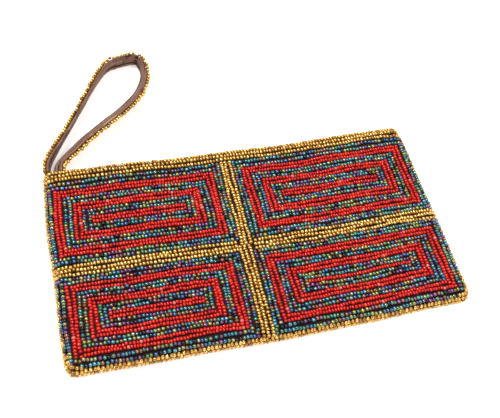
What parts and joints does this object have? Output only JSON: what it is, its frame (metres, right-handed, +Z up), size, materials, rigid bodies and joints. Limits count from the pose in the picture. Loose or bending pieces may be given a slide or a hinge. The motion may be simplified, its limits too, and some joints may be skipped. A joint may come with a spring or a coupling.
{
  "type": "coin purse",
  "caption": "Flat rectangular bead-covered coin purse with nested rings in four fields, a zipped long edge and a wrist strap loop.",
  "frame": {"origin": "middle of the pouch's back face, which the purse lies on", "axes": "+X along the zipped edge, +Y towards the zipped edge, +Z up out of the front face"},
  "size_m": [0.204, 0.1938, 0.012],
  "materials": {
    "gold_beads": "gold-lined glass seed beads",
    "iris_beads": "iris-coated glass seed beads, teal to purple and green",
    "red_beads": "opaque red glass seed beads",
    "base_cloth": "closely woven black cotton",
    "lining_cloth": "plain woven lining",
    "strap_cloth": "soft mauve-brown cloth, folded and creased",
    "zip_tape": "herringbone zip tape",
    "zip_teeth": "brushed teeth",
    "zip_metal": "cast and polished"
  },
  "bodies": {
    "root": {"back_panel": "base_cloth", "back_lining": "lining_cloth", "back_gold_beadwork": "gold_beads", "back_iris_beadwork_upper_left": "iris_beads", "back_red_beadwork_upper_left": "red_beads", "back_iris_beadwork_upper_right": "iris_beads", "back_red_beadwork_upper_right": "red_beads", "back_iris_beadwork_lower_left": "iris_beads", "back_red_beadwork_lower_left": "red_beads", "back_iris_beadwork_lower_right": "iris_beads", "back_red_beadwork_lower_right": "red_beads", "edge_beading": "gold_beads", "zipper_tape_back": "zip_tape", "zipper_teeth_back": "zip_teeth", "zipper_top_stop_back": "zip_metal", "zipper_bottom_stop": "zip_metal", "strap_end_cloth": "strap_cloth", "strap_end_beads": "gold_beads"},
    "front_side": {"front_panel": "base_cloth", "front_lining": "lining_cloth", "front_gold_beadwork": "gold_beads", "front_iris_beadwork_upper_left": "iris_beads", "front_red_beadwork_upper_left": "red_beads", "front_iris_beadwork_upper_right": "iris_beads", "front_red_beadwork_upper_right": "red_beads", "front_iris_beadwork_lower_left": "iris_beads", "front_red_beadwork_lower_left": "red_beads", "front_iris_beadwork_lower_right": "iris_beads", "front_red_beadwork_lower_right": "red_beads", "zipper_tape_front": "zip_tape", "zipper_teeth_front": "zip_teeth", "zipper_top_stop_front": "zip_metal"},
    "slider": {"slider_body": "zip_metal"},
    "pull": {"zipper_pull": "zip_metal"},
    "strap_neck": {"strap_neck_cloth": "strap_cloth", "strap_neck_beads": "gold_beads"},
    "strap_loop": {"strap_loop_cloth": "strap_cloth", "strap_loop_beads": "gold_beads"}
  },
  "joints": [
    {"name": "slider_travel", "type": "slide", "parent": "root", "child": "slider", "axis": [-1, 0, 0], "range_m": [0, 0.152]},
    {"name": "mouth_open", "type": "hinge", "parent": "root", "child": "front_side", "pos_m": [0, -0.056, 0.0082], "axis": [1, 0, 0], "range_deg": [0, 8]},
    {"name": "pull_swing", "type": "hinge", "parent": "slider", "child": "pull", "pos_m": [0.086, 0.05418, 0.006], "axis": [0, 0, -1], "range_deg": [0, 150]},
    {"name": "strap_swing", "type": "hinge", "parent": "root", "child": "strap_neck", "pos_m": [-0.095, 0.0605, 0.0055], "axis": [0, 0, 1], "range_deg": [-15, 30], "deforming": ["strap_neck_cloth", "strap_neck_beads"]},
    {"name": "strap_lift", "type": "hinge", "parent": "strap_neck", "child": "strap_loop", "pos_m": [-0.093, 0.0666, 0.0055], "axis": [0.8039, -0.5948, 0], "range_deg": [0, 50]}
  ],
  "couplings": [
    {"joint": "mouth_open", "follows": "slider_travel", "rad_per_m": 0.918}
  ]
}
